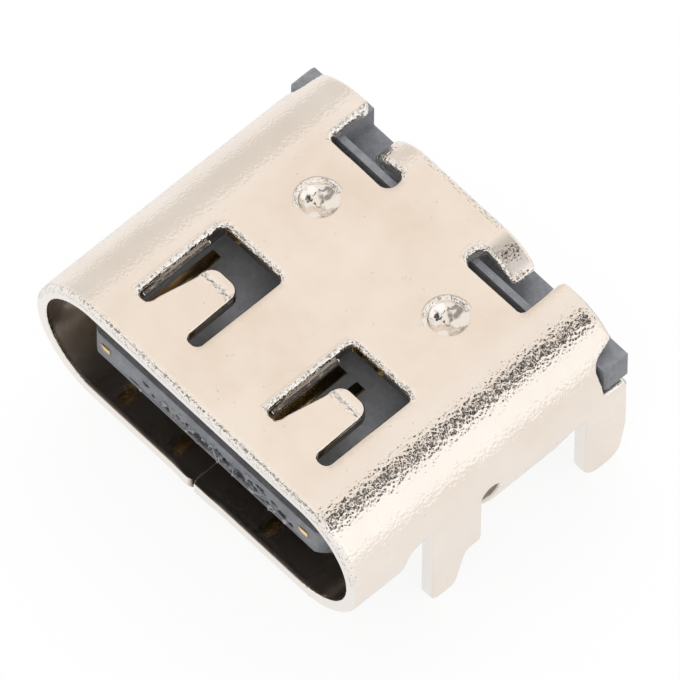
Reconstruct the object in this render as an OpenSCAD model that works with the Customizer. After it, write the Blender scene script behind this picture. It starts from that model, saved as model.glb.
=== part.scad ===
/* [Shell] */
// Width of the plug opening
opening_w = 8.34; // [8.2:0.02:8.6]
// Height of the plug opening
opening_h = 2.56; // [2.5:0.02:2.7]
// Thickness of the shell sheet
wall = 0.30; // [0.24:0.01:0.32]
// Length of the shell from mouth to rear edge
shell_length = 7.05; // [6.95:0.05:7.3]
// Radius on the outer edge of the mouth
rim_radius = 0.10; // [0.02:0.01:0.14]
// Clear gap in the butt seam under the shell
seam_gap = 0.03; // [0.01:0.01:0.06]

/* [Shell springs and dimples] */
// Distance of each spring window's centre line from the middle
window_x = 1.79; // [1.7:0.01:1.9]
// Width of each spring window
window_w = 1.67; // [1.6:0.01:1.8]
// Front end of the window arms, from the mouth
window_front = 0.93; // [0.8:0.01:1.1]
// Rear edge of the windows, from the mouth
window_rear = 3.16; // [3:0.01:3.4]
// Width of the spring at its root
spring_root_w = 1.02; // [0.9:0.01:1.1]
// Width of the spring near its free end
spring_tip_w = 0.84; // [0.7:0.01:0.88]
// Free end of the spring, from the mouth
spring_end = 2.48; // [2.4:0.01:2.7]
// How far the spring's bend reaches into the opening
spring_drop = 0.20; // [0.1:0.01:0.3]
// Distance of the dimples from the shell's rear edge
dimple_back = 2.19; // [2:0.01:2.6]
// Width of a dimple at the surface
dimple_w = 0.88; // [0.7:0.01:1]

/* [Legs] */
// How far the legs reach below the board seat
leg_drop = 0.83; // [0.75:0.01:1.2]
// Front edge of the front legs, from the mouth
front_leg_y = 1.98; // [1.9:0.01:2.1]
// Width of the front legs above the board
front_leg_w = 1.30; // [1.25:0.01:1.35]
// Width of the front legs at their tips
front_pin_w = 0.68; // [0.6:0.01:0.7]
// Width of the rear legs
rear_leg_w = 1.10; // [1:0.01:1.15]

/* [Housing] */
// Thickness of the housing behind the plug cavity
base_t = 0.98; // [0.94:0.01:1.04]
// How far the housing stands out behind the shell
housing_overhang = 0.10; // [0.05:0.01:0.3]
// Clearance of the housing inside the shell
housing_fit = 0.02; // [0.01:0.005:0.05]
// Diameter of the two locating pegs
peg_d = 0.50; // [0.4:0.01:0.54]
// Centre distance of the locating pegs
peg_spacing = 5.78; // [5.6:0.01:6]
// How far the pegs reach below the board seat
peg_drop = 0.60; // [0.4:0.01:0.7]

/* [Tongue] */
// Width of the tongue
tongue_w = 6.69; // [6.6:0.01:6.75]
// Thickness of the tongue
tongue_t = 0.70; // [0.68:0.01:0.74]
// Distance of the tongue's front edge from the mouth
tongue_tip = 0.22; // [0.15:0.01:0.3]
// Thickness of the mid-plate
plate_t = 0.15; // [0.12:0.01:0.16]

/* [Contacts] */
// Width of a contact on the tongue
contact_w = 0.25; // [0.22:0.01:0.3]
// Thickness of the contact strip
contact_t = 0.12; // [0.1:0.01:0.13]
// How far the contacts stand proud of the tongue
contact_proud = 0.02; // [0.01:0.005:0.03]
// Width of a solder tail
tail_w = 0.20; // [0.16:0.01:0.22]
// How far the solder tails reach behind the housing
tail_reach = 0.37; // [0.2:0.01:0.6]

/* [Hidden] */
$fn = 48;
eps = 0.01;

// Heights are from the board seat, lengths from the mouth.
shell_w = opening_w + 2*wall;
shell_h = opening_h + 2*wall;
mid_z = shell_h/2;
outer_r = shell_h/2;
inner_r = opening_h/2;
roof_z = opening_h + wall;
round_x = shell_w/2 - outer_r;
origin_y = shell_length/2;

// Spring windows: two arms with round front ends, and a straight rear edge.
arm_w = (window_w - spring_root_w)/2;
arm_end = window_front + arm_w/2;
window_corner = 0.12;
spring_bend = 2.10;
spring_corner = 0.28;
spring_tip_rise = 0.03;

// Housing's rear face, and the depth of the plug cavity in front of its base
housing_rear = shell_length + housing_overhang;
cavity_depth = housing_rear - base_t;

// Dimples: a cone pressed in from above, and its boss inside the opening.
dimple_y = shell_length - dimple_back;
dimple_floor_w = dimple_w/2;
dimple_depth = 0.72*wall;
dimple_boss = 0.08;

// Slots beside the rear tab, and the tab's two wings bent down.
slot_front = shell_length - 1.10;
slot_outer = window_x + window_w/2 + 0.04;
relief_w = 0.47;
relief_r = 0.20;
relief_inner = 1.06;
wing_r = 1.00;
wing_angle = 60;
wing_front = slot_front + relief_w;
wing_start = relief_inner + 0.06;

// Side notches that take the housing's ears.
notch_front = shell_length - 0.59;
notch_low = 1.68;
notch_slope = 0.20;
notch_top_r = 0.29;
notch_top_z = 2.27;

// Openings that the legs' metal leaves in the lower rounds.
front_opening_y = front_leg_y - 0.62;
front_opening_top = 1.65;
front_opening_r = 0.30;
rear_leg_y = shell_length - rear_leg_w;
rear_opening_y = rear_leg_y - 0.65;
rear_opening_top = 1.28;
rear_opening_r = 0.45;
opening_inner_x = round_x - 0.23;
relief_hole_top = 1.66;
relief_hole_w = 0.50;
bottom_end = rear_opening_y;

// Housing
foot_w = 7.10;
foot_gap = 0.03;
foot_front = bottom_end + 0.06;
upper_leg_y = housing_rear - 0.25;
lower_leg_y = housing_rear - 0.61;
tail_zone_y = lower_leg_y - 0.12;
tail_zone_z = 0.28;
peg_y = housing_rear - 1.03;
rib_t = 0.15;
pocket_floor = 2.25;
pocket_inner = relief_inner + 0.02;
pocket_outer = slot_outer + 0.03;
ear_x = shell_w/2 - 0.07;
ear_front = notch_front + 0.07;
ear_low = notch_low + 0.02;
ear_high = 2.36;
ear_edge = 0.05;

// Tongue, with its rounded front corners, wedge nose and thicker root
tongue_low = mid_z - tongue_t/2;
tongue_top = mid_z + tongue_t/2;
nose_corner = 0.60;
nose_slant = 0.06;
nose_edge_z = mid_z - 0.04;
root_front = cavity_depth - 1.12;
root_t = 1.30;
root_w = tongue_w - 0.10;

// Mid-plate, with a latch notch in each side
plate_w = tongue_w + 0.04;
plate_front = 0.70;
plate_rear = housing_rear - 0.75;
plate_root_w = tongue_w - 0.45;
latch_y = 2.35;
latch_l = 0.85;
latch_depth = 0.25;

// Contact carriers, one above and one below the mid-plate
carrier_w = tongue_w - 0.73;
carrier_front = 0.55;
carrier_block_y = cavity_depth + 0.08;
carrier_block_rear = housing_rear - 0.37;
carrier_block_w = 7.00;
carrier_block_t = 0.45;

// Contacts: each strip dives under the plastic behind its bare length.
pitch = 0.50;
bare_end = 3.07;
joggle = 0.10;
joggle_l = 0.14;
nose_dip = 0.12;
edge_dip = 0.20;
long_front = 0.68;
short_front = 1.15;
nose_reach = 0.32;
bend_r = 0.10;
tail_end = housing_rear + tail_reach;
outer_tail_x = 3.20;
power_tail_x = 2.40;
tail_pair = 0.125;
bare_z = tongue_top + contact_proud - contact_t;
upper_z = bare_z - joggle;
lower_z = 2*mid_z - upper_z - contact_t;

// ---- helpers ----

// Moves a piece from the mouth to the part's own origin.
module placed() {
    translate([0, -origin_y, 0]) children();
}

// Sweeps a y-z outline from x0 to x1.
module along_x(x0, x1) {
    translate([x0, 0, 0]) rotate([90, 0, 90]) linear_extrude(x1 - x0) children();
}

// Sweeps an x-z outline from y0 to y1.
module along_y(y0, y1) {
    translate([0, y1, 0]) rotate([90, 0, 0]) linear_extrude(y1 - y0) children();
}

module block(x0, x1, y0, y1, z0, z1) {
    translate([x0, y0, z0]) cube([x1 - x0, y1 - y0, z1 - z0]);
}

module both_sides() {
    children();
    mirror([1, 0, 0]) children();
}

module rect(x0, x1, y0, y1) {
    translate([x0, y0]) square([x1 - x0, y1 - y0]);
}

// Rectangle with rounded corners.
module round_rect(x0, x1, y0, y1, r) {
    rect(x0 + r, x1 - r, y0, y1);
    rect(x0, x1, y0 + r, y1 - r);
    for (x = [x0 + r, x1 - r]) {
        for (y = [y0 + r, y1 - r]) translate([x, y]) circle(r = r);
    }
}

// Outline of the opening or the housing, with half-round ends.
module stadium(w, h) {
    translate([-(w - h)/2, mid_z - h/2]) square([w - h, h]);
    for (s = [-1, 1]) translate([s*(w - h)/2, mid_z]) circle(d = h);
}

function unit(v) = v/norm(v);
function left_of(v) = [-v[1], v[0]];
function arc(c, r, a0, a1, n = 6) = [
    for (i = [0 : n]) c + r*[cos(a0 + (a1 - a0)*i/n), sin(a0 + (a1 - a0)*i/n)]
];

// Offset of point i of an open path that keeps a strip's thickness through the corner.
function corner_offset(p, i) =
    i == 0 ? left_of(unit(p[1] - p[0])) :
    i == len(p) - 1 ? left_of(unit(p[i] - p[i - 1])) :
    let (a = left_of(unit(p[i] - p[i - 1])), b = left_of(unit(p[i + 1] - p[i])), m = unit(a + b)) m/(m*a);

// Closed outline of a strip of thickness t on the left of a path.
function strip(p, t) = concat(p, [for (i = [len(p) - 1 : -1 : 0]) p[i] + t*corner_offset(p, i)]);

// ---- shell ----

// Section of the sheet at the mouth: first axis outward, second axis rearward.
module wall_section() {
    inner_round = rim_radius/2;
    difference() {
        square([wall, shell_length]);
        difference() {
            rect(wall - rim_radius, wall + eps, -eps, rim_radius);
            translate([wall - rim_radius, rim_radius]) circle(r = rim_radius);
        }
        difference() {
            rect(-eps, inner_round, -eps, inner_round);
            translate([inner_round, inner_round]) circle(r = inner_round);
        }
    }
}

module flat_wall() {
    along_x(-round_x, round_x) rotate(90) mirror([0, 1]) translate([inner_r, 0]) wall_section();
}

module sheet_tube() {
    translate([0, 0, mid_z]) {
        flat_wall();
        mirror([0, 0, 1]) flat_wall();
        both_sides() translate([round_x, 0, 0]) rotate([-90, 0, 0]) rotate([0, 0, -90])
            rotate_extrude(angle = 180) translate([inner_r, 0]) wall_section();
    }
}

module spring_outline() {
    root = spring_root_w/2;
    tip = spring_tip_w/2;
    shoulder = spring_end - spring_corner;
    polygon([
        [-root, 0.5], [-root, 1.2], [-tip, spring_bend], [-tip, shoulder],
        [tip, shoulder], [tip, spring_bend], [root, 1.2], [root, 0.5]
    ]);
    rect(spring_corner - tip, tip - spring_corner, shoulder - 0.1, spring_end);
    for (s = [-1, 1]) translate([s*(tip - spring_corner), shoulder]) circle(r = spring_corner);
}

module window_outline() {
    half = window_w/2;
    difference() {
        union() {
            rect(-half, half, arm_end, spring_bend);
            round_rect(-half, half, spring_bend - 0.5, window_rear, window_corner);
            for (s = [-1, 1]) translate([s*(half - arm_w/2), arm_end]) circle(d = arm_w);
        }
        spring_outline();
    }
}

module window_cut() {
    translate([0, 0, roof_z - 0.1]) linear_extrude(1) window_outline();
    block(-spring_root_w/2, spring_root_w/2, arm_end, spring_end + 0.1, roof_z - 0.1, shell_h + 0.5);
}

// The spring slopes into the opening up to its bend, then rises a little.
module spring() {
    path = [
        [arm_end - 2*eps, roof_z], [arm_end, roof_z],
        [spring_bend, roof_z - spring_drop], [spring_end + 0.1, roof_z - spring_drop + spring_tip_rise]
    ];
    intersection() {
        along_x(-1, 1) polygon(strip(path, wall));
        linear_extrude(shell_h + 1) spring_outline();
    }
}

module dimple_cut() {
    translate([0, dimple_y, shell_h - dimple_depth])
        cylinder(d1 = dimple_floor_w, d2 = dimple_w, h = dimple_depth);
    translate([0, dimple_y, shell_h - eps/2]) cylinder(d = dimple_w, h = 0.1);
}

module dimple_boss() {
    translate([0, dimple_y, roof_z - dimple_boss])
        cylinder(d1 = dimple_floor_w, d2 = 0.8*dimple_w, h = dimple_boss + eps);
}

module rear_slot() {
    translate([0, 0, roof_z - 0.1]) linear_extrude(1) {
        round_rect(relief_inner, slot_outer - 0.3, slot_front, wing_front, relief_r);
        round_rect(relief_inner + 0.4, slot_outer, slot_front, shell_length + 0.5, 0.10);
        rect(wing_start, slot_outer - 0.2, slot_front + 0.2, shell_length + 0.5);
    }
}

// Wing of the rear tab, bent down into the housing's pocket.
module wing() {
    translate([wing_start, shell_length, shell_h - wing_r]) rotate([90, 0, 0])
        rotate([0, 0, 90 - wing_angle]) rotate_extrude(angle = wing_angle)
            translate([wing_r - wall, 0]) square([wall, shell_length - wing_front]);
}

module ear_notch() {
    top = arc([notch_front + notch_top_r, notch_top_z], notch_top_r, 105, 180);
    low = arc([notch_front + 0.09, notch_low + 0.09], 0.09, 180, 270 - 10);
    rise = shell_length + 0.5 - notch_front;
    along_x(round_x, shell_w) polygon(concat(
        [[shell_length + 0.5, notch_top_z + notch_top_r + 0.26*rise]], top, low,
        [[shell_length + 0.5, notch_low - notch_slope*rise]]
    ));
}

// Openings around the front leg, seen from the side.
module front_opening() {
    y0 = front_opening_y;
    y1 = front_leg_y + front_leg_w;
    r = front_opening_r;
    top = front_opening_top;
    hole_r = relief_hole_w/2;
    along_x(opening_inner_x, shell_w) {
        polygon(concat(
            [[front_leg_y + eps, -1], [front_leg_y + eps, top]],
            arc([y0 + r, top - r], r, 90, 180), [[y0 - 0.18, 0.5], [y0 - 0.22, -1]]
        ));
        rect(front_leg_y, y1, -1, mid_z);
        translate([y1 + hole_r - eps, relief_hole_top - hole_r]) circle(r = hole_r);
        polygon([
            [y1 - 0.1, -1], [y1 - 0.1, 0.5], [y1 - eps, 1.2], [y1 - eps, 1.4], [y1 + 2*hole_r - eps, 1.3],
            [y1 + 2*hole_r - 0.08, 1.1], [y1 + 0.12, 0.4], [y1, -1]
        ]);
    }
}

module rear_opening() {
    y0 = rear_opening_y;
    r = rear_opening_r;
    top = rear_opening_top;
    along_x(opening_inner_x, shell_w) {
        polygon(concat(
            [[rear_leg_y + eps, -1], [rear_leg_y + eps, top]],
            arc([y0 + r, top - r], r, 90, 180), [[y0, -1]]
        ));
        rect(rear_leg_y, shell_length + 1, -1, mid_z);
    }
}

module front_leg() {
    y0 = front_leg_y;
    y1 = front_leg_y + front_leg_w;
    pin = front_leg_y + front_pin_w;
    r = 0.20;
    tip = -leg_drop;
    along_x(shell_w/2 - wall, shell_w/2) polygon(concat(
        [[y0, mid_z]],
        arc([y0 + r, tip + r], r, 180, 270),
        arc([pin - r, tip + r], r, 270, 345),
        arc([y1 - 0.26, -0.12], 0.20, 175, 90),
        arc([y1 - 0.10, 0.18], 0.10, 270, 355),
        [[y1, mid_z]]
    ));
}

module rear_leg() {
    r = 0.40;
    tip = -leg_drop;
    along_x(shell_w/2 - wall, shell_w/2) polygon(concat(
        [[rear_leg_y, mid_z]],
        arc([rear_leg_y + r, tip + r], r, 180, 270),
        arc([shell_length - 0.10 - r, tip + r], r, 270, 345),
        [[shell_length - 0.02, 0], [shell_length, 0.15], [shell_length, mid_z]]
    ));
}

// Butt seam under the shell, with two dovetail locks.
module seam_cut() {
    seam_x = -0.10;
    key_l = 0.60;
    key_d = 0.50;
    flare = 0.12;
    keys = [for (y = [1.20, shell_length - 3.15]) for (p = [
        [0, y], [-key_d, y - flare], [-key_d, y + key_l + flare], [0, y + key_l]
    ]) [seam_x + p[0], p[1]]];
    path = concat([[seam_x, -1]], keys, [[seam_x, shell_length + 1]]);
    translate([0, 0, -0.5]) linear_extrude(wall + 0.7) polygon(strip(path, seam_gap));
}

module shell() {
    color([0.86, 0.80, 0.73]) placed() {
        difference() {
            union() {
                sheet_tube();
                both_sides() translate([window_x, 0, 0]) dimple_boss();
            }
            both_sides() {
                translate([window_x, 0, 0]) window_cut();
                translate([window_x, 0, 0]) dimple_cut();
                rear_slot();
                ear_notch();
                front_opening();
                rear_opening();
            }
            block(-round_x, round_x, bottom_end, shell_length + 1, -1, mid_z);
            seam_cut();
        }
        both_sides() {
            translate([window_x, 0, 0]) spring();
            wing();
            front_leg();
            rear_leg();
        }
    }
}

// ---- contacts ----

// Upper contact from its front end, dipped into the nose, to the carrier's flat length.
module blade(front, tip, dip, end_y) {
    path = [
        [tip, bare_z - dip], [front - 1.15*dip, bare_z - dip], [front, bare_z], [bare_end, bare_z],
        [bare_end + joggle_l, upper_z], [end_y, upper_z]
    ];
    along_x(-contact_w/2, contact_w/2) polygon(strip(path, contact_t));
}

// Flat length that carries a contact across to its tail.
module crossover(x0, x1, y0, y1, y2, z) {
    a = contact_w/2;
    b = tail_w/2;
    translate([0, 0, z]) linear_extrude(contact_t) polygon([
        [x0 - a, y0 - eps], [x0 - a, y0], [x1 - b, y1], [x1 - b, y2],
        [x1 + b, y2], [x1 + b, y1], [x0 + a, y0], [x0 + a, y0 - eps]
    ]);
}

// Leg bent down to the board, and the tail that lies on it.
module tail(z, leg_y) {
    out_r = bend_r + contact_t;
    path = concat(
        [[leg_y - bend_r - 2*eps, z]],
        arc([leg_y - bend_r, z - bend_r], bend_r, 90, 0, 4),
        arc([leg_y + out_r, out_r], out_r, 180, 270, 4),
        [[tail_end, 0]]
    );
    along_x(-tail_w/2, tail_w/2) polygon(strip(path, contact_t));
}

// A contact at_nose runs on to the nose's face; the others end inside the plastic.
module contact(row, x0, x1, front, at_nose = false) {
    outer = abs(x0) > 4*pitch;
    upper = row > 0;
    z = upper ? upper_z : lower_z;
    leg_y = upper ? upper_leg_y : lower_leg_y;
    y0 = outer ? cavity_depth - 0.27 : root_front - 0.45;
    y1 = outer ? leg_y - 0.25 : cavity_depth - 0.07;
    tip = at_nose ? tongue_tip : front - nose_reach;
    dip = at_nose ? edge_dip : nose_dip;
    color([0.86, 0.68, 0.36]) placed() {
        translate([x0, 0, upper ? 0 : 2*mid_z]) mirror([0, 0, upper ? 0 : 1]) blade(front, tip, dip, y0);
        crossover(x0, x1, y0, y1, leg_y - bend_r, z);
        translate([x1, 0, 0]) tail(z, leg_y);
    }
}

// Ground and power contacts are long, signal contacts are short.
module contact_a1() {
    contact(1, -5.5*pitch, -outer_tail_x - tail_pair, long_front, true);
}
module contact_a4() {
    contact(1, -2.5*pitch, -power_tail_x - tail_pair, long_front);
}
module contact_a5() {
    contact(1, -1.5*pitch, -2.5*pitch, short_front);
}
module contact_a6() {
    contact(1, -0.5*pitch, -0.5*pitch, short_front);
}
module contact_a7() {
    contact(1, 0.5*pitch, 0.5*pitch, short_front);
}
module contact_a8() {
    contact(1, 1.5*pitch, 2.5*pitch, short_front);
}
module contact_a9() {
    contact(1, 2.5*pitch, power_tail_x + tail_pair, long_front);
}
module contact_a12() {
    contact(1, 5.5*pitch, outer_tail_x + tail_pair, long_front, true);
}
module contact_b12() {
    contact(-1, -5.5*pitch, -outer_tail_x + tail_pair, long_front);
}
module contact_b9() {
    contact(-1, -2.5*pitch, -power_tail_x + tail_pair, long_front);
}
module contact_b8() {
    contact(-1, -1.5*pitch, -3.5*pitch, short_front);
}
module contact_b7() {
    contact(-1, -0.5*pitch, -1.5*pitch, short_front);
}
module contact_b6() {
    contact(-1, 0.5*pitch, 1.5*pitch, short_front);
}
module contact_b5() {
    contact(-1, 1.5*pitch, 3.5*pitch, short_front);
}
module contact_b4() {
    contact(-1, 2.5*pitch, power_tail_x - tail_pair, long_front);
}
module contact_b1() {
    contact(-1, 5.5*pitch, outer_tail_x - tail_pair, long_front);
}

module upper_contacts() {
    contact_a1();
    contact_a4();
    contact_a5();
    contact_a6();
    contact_a7();
    contact_a8();
    contact_a9();
    contact_a12();
}

module lower_contacts() {
    contact_b1();
    contact_b4();
    contact_b5();
    contact_b6();
    contact_b7();
    contact_b8();
    contact_b9();
    contact_b12();
}

// ---- tongue core ----

module latch_notches(grow) {
    both_sides() block(
        tongue_w/2 - latch_depth - grow, tongue_w, latch_y - grow, latch_y + latch_l + grow, 0, 3
    );
}

module mid_plate() {
    color([0.74, 0.73, 0.71]) placed() difference() {
        translate([0, 0, mid_z - plate_t/2]) linear_extrude(plate_t) {
            rect(-plate_w/2, plate_w/2, plate_front, root_front - 0.3);
            rect(-plate_root_w/2, plate_root_w/2, root_front - 0.4, plate_rear);
        }
        latch_notches(0);
    }
}

// Body of a carrier above the mid-plate, before its contacts are taken out.
module carrier_body() {
    z = mid_z + plate_t/2;
    block(-carrier_w/2, carrier_w/2, carrier_front, carrier_block_y + 0.1, z, tongue_top);
    block(-carrier_block_w/2, carrier_block_w/2, carrier_block_y, carrier_block_rear, z, mid_z + carrier_block_t);
}

module upper_carrier() {
    color([0.20, 0.20, 0.20]) difference() {
        placed() carrier_body();
        upper_contacts();
    }
}

module lower_carrier() {
    color([0.20, 0.20, 0.20]) difference() {
        placed() translate([0, 0, 2*mid_z]) mirror([0, 0, 1]) carrier_body();
        lower_contacts();
    }
}

// ---- housing ----

module tongue_body() {
    half = tongue_w/2;
    intersection() {
        linear_extrude(shell_h) {
            round_rect(-half, half, tongue_tip, cavity_depth, nose_corner);
            rect(-half, half, 1, cavity_depth + 0.2);
        }
        along_x(-half - 1, half + 1) polygon([
            [tongue_tip + nose_slant, tongue_low], [tongue_tip, nose_edge_z],
            [tongue_tip + nose_slant, tongue_top], [cavity_depth + 0.1, tongue_top],
            [cavity_depth + 0.1, tongue_low]
        ]);
    }
    block(-root_w/2, root_w/2, root_front, cavity_depth + 0.1, mid_z - root_t/2, mid_z + root_t/2);
}

// Ear that keys the housing into the shell's side notch, its edges chamfered.
module ear() {
    x = ear_x;
    e = ear_edge;
    intersection() {
        block(round_x, x, ear_front, housing_rear, ear_low, ear_high);
        linear_extrude(shell_h) polygon([
            [round_x, ear_front], [x - e, ear_front], [x, ear_front + e],
            [x, housing_rear - e], [x - e, housing_rear], [round_x, housing_rear]
        ]);
        along_y(0, housing_rear) polygon([
            [round_x, ear_low], [x - e, ear_low], [x, ear_low + e],
            [x, ear_high - e], [x - e, ear_high], [round_x, ear_high]
        ]);
    }
}

module housing_body() {
    difference() {
        union() {
            along_y(cavity_depth, housing_rear) stadium(opening_w - 2*housing_fit, opening_h - 2*housing_fit);
            block(-foot_w/2, foot_w/2, foot_front, housing_rear, foot_gap, wall);
            block(-foot_w/2, foot_w/2, cavity_depth, housing_rear, foot_gap, mid_z);
            both_sides() ear();
            tongue_body();
        }
        both_sides() block(
            pocket_inner, pocket_outer, cavity_depth + rib_t, housing_rear + 1, pocket_floor, shell_h
        );
        block(-foot_w, foot_w, tail_zone_y, housing_rear + 1, -1, tail_zone_z);
        latch_notches(0.02);
    }
    for (s = [-1, 1]) translate([s*peg_spacing/2, peg_y, -peg_drop]) {
        translate([0, 0, 0.1]) cylinder(d = peg_d, h = peg_drop + foot_gap - 0.05);
        cylinder(d1 = peg_d - 0.16, d2 = peg_d, h = 0.1);
    }
}

module housing() {
    color([0.36, 0.37, 0.39]) difference() {
        placed() housing_body();
        mid_plate();
        placed() carrier_body();
        placed() translate([0, 0, 2*mid_z]) mirror([0, 0, 1]) carrier_body();
        upper_contacts();
        lower_contacts();
    }
}

shell();
housing();
mid_plate();
upper_carrier();
lower_carrier();
contact_a1();
contact_a4();
contact_a5();
contact_a6();
contact_a7();
contact_a8();
contact_a9();
contact_a12();
contact_b1();
contact_b4();
contact_b5();
contact_b6();
contact_b7();
contact_b8();
contact_b9();
contact_b12();
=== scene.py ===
# %% [markdown]
# # A board-mounted socket, dressed for rendering
# The CAD solids give the sizes. This lesson gives them their looks: the formed metal shell is made again as one
# finely computed sheet, the plastic and the contacts get their softened edges, and each gets a procedural finish.

# %% Load the frame
import math

import bmesh
import bpy
import numpy as np
from mathutils import Matrix, Vector


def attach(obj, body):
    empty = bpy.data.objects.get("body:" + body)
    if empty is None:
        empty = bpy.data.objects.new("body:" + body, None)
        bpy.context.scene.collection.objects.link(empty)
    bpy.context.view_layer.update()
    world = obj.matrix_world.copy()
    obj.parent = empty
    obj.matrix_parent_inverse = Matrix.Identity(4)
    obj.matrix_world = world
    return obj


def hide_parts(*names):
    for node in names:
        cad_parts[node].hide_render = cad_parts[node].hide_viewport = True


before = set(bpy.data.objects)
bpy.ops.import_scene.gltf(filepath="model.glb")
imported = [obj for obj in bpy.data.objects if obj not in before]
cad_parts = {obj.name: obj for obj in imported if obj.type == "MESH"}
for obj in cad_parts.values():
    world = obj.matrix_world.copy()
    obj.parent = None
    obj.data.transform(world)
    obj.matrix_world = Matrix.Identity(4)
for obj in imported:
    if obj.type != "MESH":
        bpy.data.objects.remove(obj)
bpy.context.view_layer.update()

# %% [markdown]
# ## Sizes
# All lengths below are millimetres, measured from the mouth of the shell (y), from the middle (x) and from the board
# (z). `placed` moves them to the part's own origin, halfway along the shell, and turns them into metres.

# %% Sizes of the shell
WALL, LENGTH = 0.30, 7.05                   # thickness of the sheet, mouth to rear edge
OUTER_R = 1.58                              # radius of the round sides, on the outer face
HEIGHT = 2 * OUTER_R
MID_Z = OUTER_R                             # half the height
FLAT = 2.89                                 # half the width of the flat roof
S_SIDE = FLAT + OUTER_R * math.pi / 2       # s halfway down a round side
S_BOTTOM = FLAT + OUTER_R * math.pi         # s where the underside turns flat
S_MIDDLE = 2 * FLAT + OUTER_R * math.pi     # s at the middle of the underside
WINDOW_X, WINDOW_W, WINDOW_FRONT, WINDOW_REAR = 1.79, 1.67, 0.93, 3.16
SPRING_BEND, SPRING_END, SPRING_DROP = 2.10, 2.48, 0.20
SPRING_ROOT, SPRING_TIP = 1.02, 0.84        # widths of a spring
ARM_END = WINDOW_FRONT + (WINDOW_W - SPRING_ROOT) / 4
DIMPLE_X, DIMPLE_Y, DIMPLE_HOLE = 1.79, 4.86, 0.62
SLOT_FRONT, SLOT_OUTER = 5.95, 2.665
WING_START, WING_FRONT, WING_R, WING_ANGLE = 1.12, 6.42, 1.00, 60.0
WING_LIMIT = 2.3                            # s just past a wing's free edge
LEG_DROP, FRONT_LEG, FRONT_LEG_W, REAR_LEG = 0.83, 1.98, 1.30, 5.95
LEG_LIMIT = S_SIDE + 2.5                    # s just past the legs' tips
BOTTOM_END = 5.30                           # rear edge of the underside
SEAM_X, SEAM_GAP = 0.10, 0.012              # the seam's offset from the middle and its clearance
LOCK_PLACES, LOCK_WIDTH = (1.20, 3.90), 0.60


def placed(points):
    """Millimetres from the mouth to metres in the part's frame."""
    return (np.asarray(points, float) - np.array([0, LENGTH / 2, 0])) * 0.001


# %% [markdown]
# ## The blank
# The real shell is cut from a strip of sheet and then rolled up, so it is worked out the same way here. The flat
# blank has one axis round the shell (s, measured along the outer face from the middle of the roof) and one along it
# (y). Its outline and its holes are a signed distance: negative in the metal, positive outside it.

# %% Signed distances in the flat blank
def box_distance(s, y, s0, s1, y0, y1, r=0.0):
    """Distance to a rectangle with corner radius r."""
    ds = np.abs(s - (s0 + s1) / 2) - (s1 - s0) / 2 + r
    dy = np.abs(y - (y0 + y1) / 2) - (y1 - y0) / 2 + r
    return np.hypot(np.maximum(ds, 0), np.maximum(dy, 0)) + np.minimum(np.maximum(ds, dy), 0) - r


def outline_distance(s, y, corners):
    """Distance to a closed outline: the nearest edge, negative where a ray crosses the outline an odd number of
    times."""
    corners = np.asarray(corners, float)
    nearest = np.full(np.shape(s), 1e9)
    inside = np.zeros(np.shape(s), bool)
    for (s0, y0), (s1, y1) in zip(corners, np.roll(corners, -1, axis=0)):
        es, ey = s1 - s0, y1 - y0
        t = np.clip(((s - s0) * es + (y - y0) * ey) / (es * es + ey * ey + 1e-12), 0, 1)
        nearest = np.minimum(nearest, np.hypot(s - s0 - t * es, y - y0 - t * ey))
        crosses = (y0 > y) != (y1 > y)
        inside ^= crosses & (s < s0 + (y - y0) * es / (ey if ey else 1e-12))
    return np.where(inside, -nearest, nearest)


def keep_both(a, b, r):
    """What is inside both a and b, with the corner where they cross rounded to radius r."""
    return np.minimum(-r, np.maximum(a, b)) + np.hypot(np.maximum(a + r, 0), np.maximum(b + r, 0))


def arc(centre_s, centre_y, r, a0, a1):
    """Eleven points on a circle from angle a0 to a1, in degrees."""
    angle = np.radians(np.linspace(a0, a1, 11))
    return np.stack([centre_s + r * np.cos(angle), centre_y + r * np.sin(angle)], 1)


def around(y_z):
    """Side-view points (y, z) to blank points (s, y) on the round side."""
    y_z = np.asarray(y_z, float)
    return np.stack([FLAT + OUTER_R * np.arccos(np.clip((y_z[:, 1] - MID_Z) / OUTER_R, -1, 1)), y_z[:, 0]], 1)


def down(y_z):
    """Side-view points (y, z) to blank points (s, y) on a leg, which hangs straight down from the side."""
    y_z = np.asarray(y_z, float)
    return np.stack([S_SIDE + MID_Z - y_z[:, 1], y_z[:, 0]], 1)


# %% Outlines of the side features
# The legs' outlines reach well up into the body, and the rear opening runs on under its leg: where two outlines are
# joined they overlap by more than an edge's rounding, so that no rounding is made inside the joint.
LEG_END = FRONT_LEG + FRONT_LEG_W
PIN_END = FRONT_LEG + 0.68
EAR_NOTCH = around(np.concatenate([[[8.0, 2.90]], arc(6.75, 2.27, 0.29, 105, 180), arc(6.55, 1.77, 0.09, 180, 260),
                                   [[8.0, 1.37]]]))
FRONT_OPENING = np.concatenate([
    around(np.concatenate([[[FRONT_LEG + 0.01, 1.65]], arc(1.66, 1.35, 0.30, 90, 180), [[1.18, 0.5], [1.15, 0.05]]])),
    [[S_BOTTOM + 0.23, 1.15], [S_BOTTOM + 0.23, LEG_END + 0.05]],
    around(np.concatenate([[[LEG_END + 0.06, 0.05], [LEG_END + 0.12, 0.4], [LEG_END + 0.42, 1.1],
                            [LEG_END + 0.485, 1.34]], arc(LEG_END + 0.24, 1.41, 0.25, 0, 180)])),
])
REAR_OPENING = np.concatenate([
    around(np.concatenate([[[9.0, 1.28]], arc(5.75, 0.83, 0.45, 90, 180), [[5.30, 0.05]]])),
    [[S_BOTTOM + 0.23, 5.30], [S_BOTTOM + 0.23, 9.0]],
])
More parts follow.
